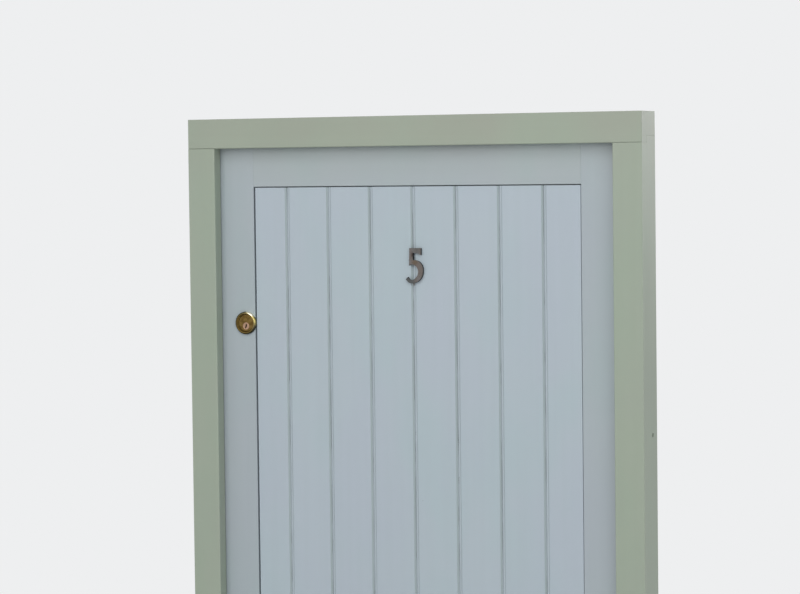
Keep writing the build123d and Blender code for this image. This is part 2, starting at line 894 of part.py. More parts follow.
keep_width = latch_pocket + latch_keep_wall
with BuildPart() as latch_keep:
    with BuildSketch(inner_plane(-rebate_half - keep_width / 2, cylinder_z)):
        Rectangle(keep_width, latch_keep_height)
    extrude(amount=latch_case_depth)
    far_side = latch_keep.edges().filter_by(Axis.Y).sort_by(Axis.X)[:2]
    fillet(far_side, latch_case_corner)
    with BuildSketch(Plane.YZ.offset(-rebate_half)):
        with Locations((latch_middle, cylinder_z)):
            Rectangle(
                latch_bolt_thickness + 2 * latch_keep_play, latch_bolt_height + 2 * latch_keep_play
            )
    extrude(amount=-latch_pocket, mode=Mode.SUBTRACT)
save(latch_keep, "latch_keep")

# Tower bolts
# Each is drawn from a plane on the inner face, local X along its throw

guide_inner = shoot_size + 2 * shoot_clearance
shoot_middle = tower_plate + shoot_clearance + shoot_size / 2
keep_length = shoot_throw - tower_end_gap - max(side_gap, meeting_gap)


def tower_case(name, plane):
    # Back plate with a guide at each end, its front end at the plane's origin
    with BuildPart() as piece:
        with BuildSketch(plane):
            with Locations((-tower_length / 2, 0)):
                Rectangle(tower_length, tower_width)
        extrude(amount=tower_plate)
        with BuildSketch(plane.offset(tower_plate)):
            for x in (-guide_length / 2, guide_length / 2 - tower_length):
                with Locations((x, 0)):
                    Rectangle(guide_length, guide_inner + 2 * guide_wall)
        extrude(amount=guide_inner + guide_wall)
        chamfer(piece.faces().filter_by(Axis.Y).sort_by(Axis.Y)[-2:].edges(), guide_chamfer)
        with BuildSketch(plane.offset(tower_plate)):
            with Locations((-tower_length / 2, 0)):
                Rectangle(tower_length, guide_inner)
        extrude(amount=guide_inner, mode=Mode.SUBTRACT)
    save(piece, name)


def tower_shoot(name, plane):
    # Square shoot, drawn back until its nose is level with the plate's end; its knob's
    # travel is centred on the plate
    length = tower_length + shoot_tail
    with BuildPart() as piece:
        with BuildSketch(plane.offset(shoot_middle - shoot_size / 2)):
            with Locations((-length / 2, 0)):
                Rectangle(length, shoot_size)
        extrude(amount=shoot_size)
        nose = piece.faces().sort_by(Axis(plane.origin, plane.x_dir))[-1].edges()
        chamfer(nose, shoot_nose_chamfer)
        stem_x = -(tower_length + shoot_throw) / 2
        stem_foot = plane.from_local_coords((stem_x, 0, shoot_middle))
        knob_foot = shoot_size / 2 + shoot_stem_height
        knob_top = knob_foot + shoot_knob_height
        with BuildSketch(Plane(origin=stem_foot, x_dir=plane.x_dir, z_dir=-plane.y_dir)):
            with BuildLine():
                Polyline(
                    (0, 0),
                    (shoot_stem_radius, 0),
                    (shoot_stem_radius, knob_foot),
                    (shoot_knob_radius, knob_foot),
                    (shoot_knob_radius, knob_top),
                    (0, knob_top),
                    close=True,
                )
            make_face()
        revolve(axis=Axis(stem_foot, plane.z_dir))
    save(piece, name)


def tower_keep(name, plane):
    # Staple on its own plate, as long as the thrown shoot reaches past the gap
    opening = guide_inner + 2 * keep_play
    with BuildPart() as piece:
        with BuildSketch(plane):
            with Locations((keep_length / 2, 0)):
                Rectangle(keep_length, tower_width)
        extrude(amount=tower_plate - keep_play)
        with BuildSketch(plane):
            with Locations((keep_length / 2, 0)):
                Rectangle(keep_length, opening + 2 * guide_wall)
        extrude(amount=tower_plate + guide_inner + keep_play + guide_wall)
        with BuildSketch(plane.offset(tower_plate - keep_play)):
            with Locations((keep_length / 2, 0)):
                Rectangle(keep_length, opening)
        extrude(amount=opening, mode=Mode.SUBTRACT)
    save(piece, name)


meeting_bolt_x = meeting_bolt_backset - leaf_half
meeting_plane = Plane(
    origin=(meeting_bolt_x, leaf_back, upper_bottom + tower_end_gap),
    x_dir=(0, 0, -1),
    z_dir=(0, 1, 0),
)
meeting_keep_plane = Plane(
    origin=(meeting_bolt_x, leaf_back, lower_top), x_dir=(0, 0, -1), z_dir=(0, 1, 0)
)
bottom_bolt_z = lower_bottom + bottom_bolt_height
bottom_plane = Plane(
    origin=(tower_end_gap - leaf_half, leaf_back, bottom_bolt_z), x_dir=(-1, 0, 0), z_dir=(0, 1, 0)
)
bottom_keep_plane = Plane(
    origin=(-rebate_half, leaf_back, bottom_bolt_z), x_dir=(-1, 0, 0), z_dir=(0, 1, 0)
)

for bolt, case_at, keep_at in (
    ("meeting_bolt", meeting_plane, meeting_keep_plane),
    ("bottom_bolt", bottom_plane, bottom_keep_plane),
):
    tower_case(f"{bolt}_case", case_at)
    tower_shoot(bolt, case_at)
    tower_keep(f"{bolt}_keep", keep_at)
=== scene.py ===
import math
import random

import bmesh
import bpy
from mathutils import Matrix, Vector


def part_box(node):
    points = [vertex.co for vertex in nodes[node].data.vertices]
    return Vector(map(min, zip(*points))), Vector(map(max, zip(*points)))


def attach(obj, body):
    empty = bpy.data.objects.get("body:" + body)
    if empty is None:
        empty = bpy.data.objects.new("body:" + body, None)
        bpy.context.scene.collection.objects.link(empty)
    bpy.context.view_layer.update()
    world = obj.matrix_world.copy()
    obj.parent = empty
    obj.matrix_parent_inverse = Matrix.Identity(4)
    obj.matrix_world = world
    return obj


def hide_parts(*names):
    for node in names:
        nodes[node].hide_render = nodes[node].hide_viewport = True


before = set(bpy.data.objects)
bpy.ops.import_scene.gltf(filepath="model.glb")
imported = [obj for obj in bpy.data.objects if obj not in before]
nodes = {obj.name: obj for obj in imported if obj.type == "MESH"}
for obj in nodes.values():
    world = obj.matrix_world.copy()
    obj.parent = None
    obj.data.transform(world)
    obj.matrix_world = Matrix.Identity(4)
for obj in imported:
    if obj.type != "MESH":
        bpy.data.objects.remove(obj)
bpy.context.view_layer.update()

mm = 0.001
dice = random.Random(5)


def srgb(red, green, blue):
    # 0-255 screen colour to the linear colour that the shader wants
    def lin(c):
        c = c / 255
        return c / 12.92 if c <= 0.04045 else ((c + 0.055) / 1.055) ** 2.4
    return (lin(red), lin(green), lin(blue), 1.0)


def toned(colour, red, green, blue):
    # the same colour with each channel turned up or down
    return (colour[0] * red, colour[1] * green, colour[2] * blue, 1.0)


def placed(name, data):
    # a new object for this data, put into the scene
    thing = bpy.data.objects.new(name, data)
    bpy.context.scene.collection.objects.link(thing)
    return thing


# shader sheet: sockets that take part in plain arithmetic

class Wire:
    def __init__(self, sheet, socket):
        self.sheet = sheet
        self.socket = socket

    def maths(self, operation, first, second):
        wires = [w for w in (first, second) if isinstance(w, Wire)]
        if any(w.socket.type == "VECTOR" for w in wires):
            ins = [w if isinstance(w, (Wire, tuple)) else (w, w, w) for w in (first, second)]
            return self.sheet.add("ShaderNodeVectorMath", {"operation": operation}, dict(enumerate(ins)))
        return self.sheet.add("ShaderNodeMath", {"operation": operation}, {0: first, 1: second})

    def __add__(self, other):
        return self.maths("ADD", self, other)

    def __radd__(self, other):
        return self.maths("ADD", other, self)

    def __sub__(self, other):
        return self.maths("SUBTRACT", self, other)

    def __rsub__(self, other):
        return self.maths("SUBTRACT", other, self)

    def __mul__(self, other):
        return self.maths("MULTIPLY", self, other)

    def __rmul__(self, other):
        return self.maths("MULTIPLY", other, self)

    def __abs__(self):
        return self.sheet.add("ShaderNodeMath", {"operation": "ABSOLUTE"}, {0: self})

    def ramp(self, low, high):
        # 0 below low, 1 above high; low over high turns it round
        if low < high:
            return self.sheet.add("ShaderNodeMapRange", {"interpolation_type": "SMOOTHSTEP"},
                                  {"Value": self, "From Min": low, "From Max": high})
        return 1 - self.ramp(high, low)

    def mix(self, first, second):
        # self is the factor between two colours
        return self.sheet.add("ShaderNodeMix", {"data_type": "RGBA"},
                              {"Factor": self, 6: first, 7: second}, give=2)

    def near(self, centre, reach):
        # 1 at centre, falling to 0 at reach from it
        return abs(self - centre).ramp(reach, 0.0)


class Sheet:
    def __init__(self, name, kind="materials"):
        self.material = getattr(bpy.data, kind).new(name)
        self.material.use_nodes = True
        self.tree = self.material.node_tree
        self.tree.nodes.clear()
        self.place = self.add("ShaderNodeTexCoord", give="Object")
        parts = self.tree.nodes.new("ShaderNodeSeparateXYZ")
        self.tree.links.new(self.place.socket, parts.inputs[0])
        self.x, self.y, self.z = (Wire(self, parts.outputs[i]) for i in range(3))

    def add(self, kind, settings=None, sockets=None, give=0):
        node = self.tree.nodes.new(kind)
        for key, value in (settings or {}).items():
            setattr(node, key, value)
        for key, value in (sockets or {}).items():
            if isinstance(value, Wire):
                self.tree.links.new(value.socket, node.inputs[key])
            else:
                node.inputs[key].default_value = value
        return Wire(self, node.outputs[give])

    def noise(self, scale, stretch=(1, 1, 1), shift=0.0, detail=3.0, roughness=0.5):
        spot = self.place * tuple(stretch)
        if shift:
            spot = spot + (shift, shift * 1.7, shift * 0.6)
        return self.add("ShaderNodeTexNoise", {}, {"Vector": spot, "Scale": scale, "Detail": detail,
                        "Roughness": roughness})

    def cells(self, scale):
        return self.add("ShaderNodeTexVoronoi", {}, {"Vector": self.place, "Scale": scale}, give="Distance")

    def surface(self, colour, roughness, height=None, lift=1.0, metal=0.0, fixed=None):
        # the one shader: varying inputs are wired, the rest are set on its own sockets
        sockets = {"Base Color": colour, "Roughness": roughness, "Metallic": metal}
        sockets.update(fixed or {})
        if height is not None:
            bump = {"Height": height, "Distance": lift, "Strength": 1.0}
            sockets["Normal"] = self.add("ShaderNodeBump", {}, bump)
        return self.add("ShaderNodeBsdfPrincipled", {}, sockets)

    def done(self, shader, output="ShaderNodeOutputMaterial"):
        out = self.tree.nodes.new(output)
        self.tree.links.new(shader.socket, out.inputs["Surface"])
        return self.material


print("shader sheet ready")

# paint

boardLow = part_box("upper_board_2")[0]
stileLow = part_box("upper_lock_stile")[0]
numeralLow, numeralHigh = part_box("house_number")

boards = {
    "joint": boardLow.x - 0.2 * mm,         # first joint between two boards
    "cover": 88.5 * mm,
    "face": boardLow.y,
    "veeDepth": 3.8 * mm,
    "veeWidth": 4.4 * mm,                   # one side of a V joint
    "crack": (-1.0 * mm, 0.9 * mm),         # dirt line low on the lock-side flank: place, reach
    "quirk": (5.3 * mm, 1.5 * mm),          # fine scored line beside each joint: place, reach
    "quirkDepth": 2.5,                      # in heights of the brush strokes
    "shadedFlank": (-0.8 * mm, -1.6 * mm),         # painted shade on the lock-side flank: begins, is full
    "paintedLightFold": (-1.4 * mm, -0.4 * mm),         # painted light in the bottom of the V and past it: begins, is full
    "chipReach": 2.6 * mm,                  # half the width of a chip
    # chips: x, height and half their own height, in mm
    "chips": [(-0.4, 1495, 9), (87.0, 1478, 26), (87.6, 1408, 14), (12.9, 1367, 1.6), (-1.0, 1706, 3)],
    "stainJoint": 3,                        # covers from the first joint to the stain
    "stainAside": 1 * mm,
    "stainReach": 3.4 * mm,
    "stainTop": (4 * mm, 2 * mm),           # up from the numeral's foot: begins, is full
    "stainLength": 7 * mm,
}
paint = {
    "board": srgb(172, 183, 190),
    # stile and rail: the board paint made darker, as painted shade
    "stile": srgb(164, 173, 177),
    "rail": srgb(164, 173, 175),
    "frame": srgb(153, 163, 147),
    # painted shade and painted light on the flanks of the V joints
    "shadedFlank": srgb(157, 169, 171),
    "paintedLightFold": srgb(196, 206, 212),
    "quirk": srgb(144, 155, 162),
    "crack": srgb(96, 104, 100),
    # a dusty coat that also stands for painted shade at the top
    "dustAndShadeTone": srgb(150, 150, 138),
    "stain": srgb(112, 98, 80),
    "splash": srgb(126, 124, 110),
    "greener": (0.965, 1.0, 0.985),         # what the paint's clouds do to its red, green and blue
    "pinker": (1.0, 0.968, 1.01),
    "darker": (0.94, 0.94, 0.94),
    "roughness": 0.44,
    "strokeHeight": 0.12 * mm,
    "specular": 0.4,
}
weather = {
    "topDarkening": (1.95, 2.09),                   # heights in m, from no darkening to most: a dusty coat and painted shade
    "splash": (0.3, 0.04),                  # the same for splashes
    "splashStrength": 0.22,
    "edgeDepth": (4.5 * mm, 2 * mm),        # painted shadow line: begins, is full, this far in front of the leaf
    "edgeBehind": 1 * mm,                   # how far behind the leaf's face it ends
    "edgeReach": (5 * mm, 3 * mm),          # beyond the leaf's edge: gone, still full
}


def paintedSheet(name, colour, grain, topDustAndShade=0.0):
    # brushed exterior paint; grain squeezes the noise along the brush's way
    s = Sheet(name)
    strokes = s.noise(420, grain, detail=4, roughness=0.6)
    broad = s.noise(70, grain, shift=3.1, detail=2)
    cloud = s.noise(5.5, (1, 1, 0.7), shift=7.7)
    tint = s.noise(9, (1, 1, 0.5), shift=1.3, detail=2)
    base = tint.ramp(0.38, 0.62).mix(colour, toned(colour, *paint["greener"]))
    base = (cloud.ramp(0.35, 0.7) * 0.7).mix(base, toned(colour, *paint["pinker"]))
    base = (broad.ramp(0.3, 0.75) * 0.3).mix(base, toned(colour, *paint["darker"]))
    rough = paint["roughness"] + (strokes - 0.5) * 0.16 + (cloud - 0.5) * 0.12
    if topDustAndShade:
        # darker towards the top: a dusty coat under the head, partly painted shade from above
        topDarkening = s.z.ramp(*weather["topDarkening"]) * (0.5 + 0.5 * cloud.ramp(0.3, 0.6)) * topDustAndShade
        base = topDarkening.mix(base, paint["dustAndShadeTone"])
    # rain splashed up from the sill
    spatter = s.noise(34, (1, 1, 0.5), shift=4.4, detail=5)
    splash = s.z.ramp(*weather["splash"]) * spatter.ramp(0.42, 0.66)
    base = (splash * weather["splashStrength"]).mix(base, paint["splash"])
    return s, base, rough + splash * 0.2, strokes * 0.6 + broad * 0.8, strokes


def paintDone(s, base, rough, height):
    fixed = {"Specular IOR Level": paint["specular"]}
    return s.done(s.surface(base, rough, height, paint["strokeHeight"], fixed=fixed))


def paintFinish(name, colour, grain, topDustAndShade=0.0, edgeShadowLine=0.0):
    s, base, rough, height, _ = paintedSheet(name, colour, grain, topDustAndShade)
    if edgeShadowLine:
        # painted shadow: a thin dark line down the reveal, where it meets the leaf
        edge, half = stileLow.y, -stileLow.x
        begins, full = weather["edgeDepth"]
        gone, fades = weather["edgeReach"]
        line = s.y.ramp(edge - begins, edge - full) * s.y.ramp(edge + weather["edgeBehind"], edge)
        line = line * abs(s.x).ramp(half + gone, half + fades)
        base = (line * edgeShadowLine).mix(base, paint["crack"])
    return paintDone(s, base, rough, height)


def boardFinish(name, colour, grain):
    # the same paint, with painted shade and painted light on the flanks of the V joints, and what gathers in
    # the joints
    s, base, rough, height, strokes = paintedSheet(name, colour, grain)
    half = boards["cover"] / 2
    wide, depth = boards["veeWidth"], boards["veeDepth"]
    # away: distance from the nearest joint; deep: 1 on the flanks of its V
    away = s.add("ShaderNodeMath", {"operation": "WRAP"}, {0: s.x - boards["joint"], 1: half, 2: -half})
    breaks = s.noise(60, (1, 1, 0.25), shift=5.5)
    behind = s.y - boards["face"]
    deep = behind.ramp(0.03 * depth, 0.15 * depth)
    deep = deep * behind.ramp(1.5 * depth, 1.2 * depth)
    # painted shade on the lock-side flank of each V
    shadedFlankMask = away.ramp(*boards["shadedFlank"]) * away.ramp(-1.1 * wide, -wide)
    base = (shadedFlankMask * deep).mix(base, paint["shadedFlank"])
    # painted light: paler colour in the bottom of the V and up its other flank
    paintedLightFold = away.ramp(*boards["paintedLightFold"]) * away.ramp(wide, 0.8 * wide)
    base = (paintedLightFold * deep).mix(base, paint["paintedLightFold"])
    crack = away.near(*boards["crack"]) * deep
    base = (crack * (0.35 + 0.4 * breaks.ramp(0.45, 0.6))).mix(base, paint["crack"])
    quirk = away.near(*boards["quirk"]) * behind.ramp(0.3 * depth, 0.1 * depth)
    base = (quirk * (0.8 + 0.2 * breaks.ramp(0.4, 0.55))).mix(base, paint["quirk"])
    height = height - quirk * boards["quirkDepth"]
    # small chips along the arrises, where the photograph has them
    for x, z, tall in boards["chips"]:
        spot = (s.x - x * mm).near(0.0, boards["chipReach"]) * (s.z - z * mm).near(0.0, tall * mm)
        flake = s.noise(900, (1, 1, 0.5), shift=x * 0.1 + 2, detail=2).ramp(0.5, 0.58)
        base = (spot.ramp(0.2, 0.7) * flake * 0.8).mix(base, paint["crack"])
    # dirt that has run down from the numeral's foot
    foot, length = numeralLow.z, boards["stainLength"]
    begins, full = boards["stainTop"]
    aside = s.x - boards["joint"] - boards["stainJoint"] * boards["cover"] - boards["stainAside"]
    run = aside.near(0.0, boards["stainReach"]) * s.z.ramp(foot - length, foot - 0.2 * length)
    run = run * s.z.ramp(foot + begins, foot + full)
    base = (run * (0.45 + 0.5 * strokes.ramp(0.35, 0.6))).mix(base, paint["stain"])
    return paintDone(s, base, rough, height)


# metals

ringLow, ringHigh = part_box("cylinder_ring")
ringMiddle = (ringLow + ringHigh) / 2

metal = {
    "brass": srgb(150, 132, 78),
    "brassDark": srgb(74, 56, 26),
    # the ring's painted reflection, painted highlight and painted dark rim
    "brassPaintedReflection": srgb(196, 180, 104),
    "brassPaintedHighlight": srgb(252, 244, 222),
    "brassPaintedDarkRim": srgb(36, 34, 20),
    "cylinder": srgb(122, 100, 56),
    "plug": srgb(178, 146, 124),
    "plugDark": srgb(110, 84, 64),
    "bronze": srgb(98, 90, 85),
    "bronzeGrey": srgb(103, 100, 99),
    "bronzeBrown": srgb(92, 78, 62),
    # dark specks, and painted shade on the numeral's sides
    "bronzeDarkAndSideShade": srgb(42, 40, 37),
    "bronzeSlate": srgb(66, 71, 72),
    "bronzeDark": srgb(52, 36, 24),
    "black": srgb(26, 26, 27),
    "blackSoft": srgb(38, 37, 36),
    "blackWorn": srgb(84, 80, 76),
    "zinc": srgb(158, 160, 162),
    "zincDull": srgb(112, 113, 114),
}
# in shares of the ring's radius; all but the coat's span place painted shade, painted reflection and a
# painted highlight
ringWear = {
    "paintedShadeLowerLeft": (0.25, -0.9),
    "bright": (0.3, 0.85),
    "edge": (0.81, 0.93),
    "darkRimEnds": (0.8, 0.4),
    "paintedHighlightPatch": (0.82, 0.92),
    "shine": (-0.1, 0.5),
}
numeralWear = {
    "shoulder": (16 * mm, 11 * mm, 40 * mm, 8 * mm),    # in from the side, half width,
    "corner": (14 * mm, 5 * mm, 54 * mm, 9 * mm),       # up from the foot, half height
    "head": (12 * mm, 12 * mm),             # in from the side, half width
    "headRise": (52 * mm, 58 * mm),         # up from the foot: begins, is full
    "footReach": (24 * mm, 12 * mm),        # in from the side: begins, is full
    "footRise": (15 * mm, 10 * mm),         # up from the foot: begins, is full
    "lowRise": (5 * mm, 0.0),               # the same, all along the foot
    "side": (0.5 * mm, 1.3 * mm),           # painted shade on the sides, back from the face: begins, is full
}


def brassFinish(name, colour, dark, roughness, patina):
    s = Sheet(name)
    cloud = s.noise(120, shift=0.7, detail=4)
    fine = s.noise(900, shift=2.9)
    lines = s.noise(1500, (1, 1, 0.05), shift=6.1, detail=2)
    base = (cloud.ramp(0.35, 0.7) * patina).mix(colour, dark)
    base = (fine.ramp(0.55, 0.75) * 0.3).mix(base, dark)
    rough = roughness + (cloud - 0.5) * 0.2 + fine.ramp(0.5, 0.8) * 0.1
    return s.done(s.surface(base, rough, fine + lines * 0.4, 0.04 * mm, metal=1.0))


def ringFinish(name):
    # brighter towards the upper right with painted reflection and a painted highlight, darker towards its
    # lower left with painted shade, and a painted dark rim
    s = Sheet(name)
    cloud = s.noise(150, shift=1.7, detail=4)
    fine = s.noise(900, shift=2.9)
    across = (s.x - ringMiddle.x) * 0.72 + (s.z - ringMiddle.z) * 0.55
    reach = (ringHigh.z - ringLow.z) / 2
    span = {part: (low * reach, high * reach) for part, (low, high) in ringWear.items()}
    # painted shade towards the lower left, which also roughens the brass
    paintedShadeLowerLeft = (across + (cloud - 0.5) * 0.35 * reach).ramp(*span["paintedShadeLowerLeft"])
    base = (cloud.ramp(0.35, 0.7) * 0.4).mix(metal["brass"], metal["brassDark"])
    # painted reflection: paler brass towards the upper right
    base = (across.ramp(*span["bright"]) * 0.7).mix(base, metal["brassPaintedReflection"])
    base = (paintedShadeLowerLeft * 0.75).mix(base, metal["brassDark"])
    fromMiddle = s.place - (ringMiddle.x, 0.0, ringMiddle.z)
    radius = s.add("ShaderNodeVectorMath", {"operation": "LENGTH"}, {0: fromMiddle * (1, 0, 1)}, give=1)
    # painted dark reflection on the outer rim, except towards the upper right
    edge = radius.ramp(*span["edge"]) * across.ramp(*span["darkRimEnds"])
    base = (edge * 0.85).mix(base, metal["brassPaintedDarkRim"])
    # painted highlight at the ring's upper right
    upRight = (s.x - ringMiddle.x) * 0.5 + (s.z - ringMiddle.z) * 0.86
    base = (upRight.ramp(*span["paintedHighlightPatch"]) * 0.9).mix(base, metal["brassPaintedHighlight"])
    rough = 0.2 + (cloud - 0.5) * 0.12 + paintedShadeLowerLeft * 0.12 + fine.ramp(0.5, 0.8) * 0.06
    shine = across.ramp(*span["shine"]) * 0.8
    return s.done(s.surface(base, rough, fine, 0.02 * mm, metal=1.0,
                            fixed={"Coat Weight": shine, "Coat Roughness": 0.12}))


def bronzeFinish(name):
    # a worn face over corners that stayed dark, with painted shade on the sides
    s = Sheet(name)
    cloud = s.noise(95, (1, 1, 0.6), shift=1.9, detail=4)
    fine = s.noise(620, shift=4.3, detail=4)
    base = cloud.ramp(0.42, 0.66).mix(metal["bronze"], metal["bronzeGrey"])
    rise = s.z - numeralLow.z
    inset, wide, up, tall = numeralWear["shoulder"]
    shoulder = (s.x - numeralHigh.x + inset).near(0.0, wide) * (rise - up).near(0.0, tall)
    base = (shoulder * 1.2 * cloud.ramp(0.25, 0.5)).mix(base, metal["bronzeBrown"])
    inset, wide, up, tall = numeralWear["corner"]
    corner = (s.x - numeralLow.x - inset).near(0.0, wide) * (rise - up).near(0.0, tall)
    base = (corner * 0.9).mix(base, metal["bronzeDark"])
    inset, wide = numeralWear["head"]
    head = (s.x - numeralHigh.x + inset).near(0.0, wide) * rise.ramp(*numeralWear["headRise"])
    foot = (s.x - numeralLow.x).ramp(*numeralWear["footReach"]) * rise.ramp(*numeralWear["footRise"])
    low = rise.ramp(*numeralWear["lowRise"])
    for slate in (head * 0.5, foot * 0.8, low * 0.6):
        base = slate.mix(base, metal["bronzeSlate"])
    base = (fine.ramp(0.56, 0.7) * 0.4).mix(base, metal["bronzeDarkAndSideShade"])
    # painted shade on the numeral's sides, back from its face
    begins, full = numeralWear["side"]
    side = s.y.ramp(numeralLow.y + begins, numeralLow.y + full)
    base = (side * 0.92).mix(base, metal["bronzeDarkAndSideShade"])
    rough = 0.46 + (cloud - 0.5) * 0.3 + fine * 0.1
    return s.done(s.surface(base, rough, fine + cloud * 0.5, 0.2 * mm, metal=0.3))


def japanFinish(name):
    s = Sheet(name)
    cloud = s.noise(60, shift=0.4, detail=4)
    fine = s.noise(480, shift=3.3, detail=4)
    worn = s.noise(150, shift=5.9, detail=5).ramp(0.66, 0.74)
    base = (cloud.ramp(0.4, 0.7) * 0.5).mix(metal["black"], metal["blackSoft"])
    base = (worn * 0.6).mix(base, metal["blackWorn"])
    rough = 0.3 + (cloud - 0.5) * 0.2 + fine * 0.12 + worn * 0.15
    return s.done(s.surface(base, rough, fine + cloud, 0.12 * mm, fixed={"Coat Roughness": 0.15}))


def steelFinish(name, bright, dull):
    s = Sheet(name)
    cloud = s.noise(45, shift=2.4, detail=4)
    flakes = s.cells(260)
    lines = s.noise(1100, (1, 1, 0.04), shift=7.3)
    base = cloud.ramp(0.35, 0.7).mix(bright, dull)
    base = (flakes.ramp(0.15, 0.5) * 0.2).mix(base, dull)
    rough = 0.34 + (cloud - 0.5) * 0.22 + lines * 0.12
    return s.done(s.surface(base, rough, lines, 0.04 * mm, metal=1.0))


upright = (1, 1, 0.03)
level = (0.03, 1, 1)
finishes = {
    "boards": boardFinish("paintedBoards", paint["board"], upright),
    # the next two take darker copies of the board paint, as painted shade
    "shadedStiles": paintFinish("stilesWithPaintedShade", paint["stile"], upright, topDustAndShade=0.3),
    "shadedRails": paintFinish("railsWithPaintedShade", paint["rail"], level, topDustAndShade=0.3),
    "frameUpright": paintFinish("paintedJambs", paint["frame"], upright, topDustAndShade=0.35, edgeShadowLine=0.42),
    "frameLevel": paintFinish("paintedHeadAndSill", paint["frame"], level, topDustAndShade=0.45),
    "ring": ringFinish("ringBrass"),
    "cylinder": brassFinish("cylinderBrass", metal["cylinder"], metal["brassDark"], 0.26, 0.7),
    "brass": brassFinish("polishedBrass", metal["brass"], metal["brassDark"], 0.2, 0.6),
    "plug": brassFinish("dullBrass", metal["plug"], metal["plugDark"], 0.3, 0.4),
    "bronze": bronzeFinish("weatheredBronze"),
    "black": japanFinish("blackJapan"),
    "steel": steelFinish("dulledZinc", metal["zinc"], metal["zincDull"]),
}
# how far each finish rounds its arrises, in mm
softening = {"boards": 0.6, "shadedStiles": 0.4, "shadedRails": 0.4, "frameUpright": 0.6, "frameLevel": 0.6, "ring": 0.4,
             "cylinder": 0.2, "brass": 0.4, "plug": 0.12, "bronze": 0.5, "black": 0.5, "steel": 0.25}
print("finishes:", len(finishes))


# CAD pieces: finish and softened arrises

arris = {"weld": 0.02 * mm, "flatAngle": 1.0, "sharpAngle": 35, "segments": 2}


def finishFor(node):
    if "hinge_leaves" in node or node in ("water_bar", "meeting_bolt", "bottom_bolt"):
        return "steel"
    if node in ("lock_jamb", "hinge_jamb"):
        return "frameUpright"
    if node in ("frame_head", "sill"):
        return "frameLevel"
    if "_board_" in node:
        return "boards"
    if node.endswith(("_stile", "brace", "wedges")):
        return "shadedStiles"
    if node.endswith(("_rail", "weatherboard")):
        return "shadedRails"
    if node == "house_number":
        return "bronze"
    if node == "cylinder_ring":
        return "ring"
    if node == "cylinder_body":
        return "cylinder"
    if node in ("latch_bolt", "latch_knob", "latch_snib"):
        return "brass"
    return "plug" if node.startswith("cylinder_") else "black"


for name, piece in nodes.items():
    kind = finishFor(name)
    piece.data.materials.clear()
    piece.data.materials.append(finishes[kind])
    weld = piece.modifiers.new("weld", "WELD")
    weld.merge_threshold = arris["weld"]
    flats = piece.modifiers.new("flats", "DECIMATE")
    flats.decimate_type = "DISSOLVE"
    flats.angle_limit = math.radians(arris["flatAngle"])
    soft = piece.modifiers.new("arris", "BEVEL")
    soft.width = softening[kind] * mm
    soft.segments = arris["segments"]
    soft.limit_method = "ANGLE"
    soft.angle_limit = math.radians(arris["sharpAngle"])
print("CAD pieces dressed:", len(nodes))


# screws and turned caps

def aimed(place, outward, turn=0.0):
    # local Z along outward at place, turned about it
    facing = Vector(outward).to_track_quat("Z", "Y").to_matrix().to_4x4()
    return Matrix.Translation(place) @ facing @ Matrix.Rotation(turn, 4, "Z")


def turnedShape(steps, around=28):
    # a turned solid from (radius, height) steps, closed at both ends where the radius is 0
    shape = bmesh.new()
    rings = []
    for radius, height in steps:
        if radius == 0:
            rings.append([shape.verts.new((0, 0, height))])
        else:
            rings.append([shape.verts.new((radius * math.cos(a), radius * math.sin(a), height))
                          for a in (2 * math.pi * i / around for i in range(around))])
    for low, high in zip(rings, rings[1:]):
        for i in range(around):
            j = (i + 1) % around
            corners = [low[i % len(low)], low[j % len(low)], high[j % len(high)], high[i % len(high)]]
            corners = list(dict.fromkeys(corners))
            if len(corners) > 2:
                shape.faces.new(corners)
    bmesh.ops.recalc_face_normals(shape, faces=shape.faces)
    return shape


# heights in mm, the dome's rings in shares of the radius, the slot's most in shares of the rise
dome = {"seat": -0.3, "rim": 0.1, "rings": (0.92, 0.75, 0.5, 0.25), "slotMost": 0.8, "looksUp": 0.3}


def screwShape(head):
    # raised head with a slot, seated a little below the surface
    r, rise = head["radius"] * mm, head["rise"] * mm
    seat, rim = dome["seat"] * mm, dome["rim"] * mm
    steps = [(0, seat), (r, seat), (r, rim)]
    steps += [(r * f, rim + (rise - rim) * (1 - f * f)) for f in dome["rings"]]
    steps.append((0, rise))
    shape = turnedShape(steps)
    half = head["slot"] * mm / 2
    for side in (-1, 1):
        everything = shape.verts[:] + shape.edges[:] + shape.faces[:]
        bmesh.ops.bisect_plane(shape, geom=everything, dist=1e-7,
                               plane_co=(side * half, 0, 0), plane_no=(1, 0, 0))
    floorFaces = [f for f in shape.faces
                  if abs(f.calc_center_median().x) < half and f.normal.z > dome["looksUp"]]
    pushed = bmesh.ops.extrude_face_region(shape, geom=floorFaces)
    bmesh.ops.delete(shape, geom=floorFaces, context="FACES")
    for item in pushed["geom"]:
        if isinstance(item, bmesh.types.BMVert):
            item.co.z -= min(rise * dome["slotMost"], head["slotDepth"] * mm)
    return shape


smoothAngle = math.radians(40)


def gather(name, makeShape, places, finish, body):
    # one piece out of a shape set down at several places
    whole = bmesh.new()
    for place in places:
        shape = makeShape()
        shape.transform(place)
        part = bpy.data.meshes.new("part")
        shape.to_mesh(part)
        shape.free()
        whole.from_mesh(part)
        bpy.data.meshes.remove(part)
    mesh = bpy.data.meshes.new(name)
    whole.to_mesh(mesh)
    whole.free()
    mesh.materials.append(finishes[finish])
    for face in mesh.polygons:
        face.use_smooth = True
    mesh.set_sharp_from_angle(angle=smoothAngle)
    piece = placed(name, mesh)
    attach(piece, body)
    return piece


# sizes in mm, here and in the dictionaries of screws, caps and ring below
hinges = {"tall": 100.0, "cap": 0.2, "sideGap": 3.0, "knuckle": 6.0}
hingeScrews = {"radius": 3.6, "rise": 0.5, "slot": 0.9, "slotDepth": 0.5,
               "up": 34.0, "near": 21.0, "far": 12.0}
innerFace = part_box("lock_jamb")[1].y


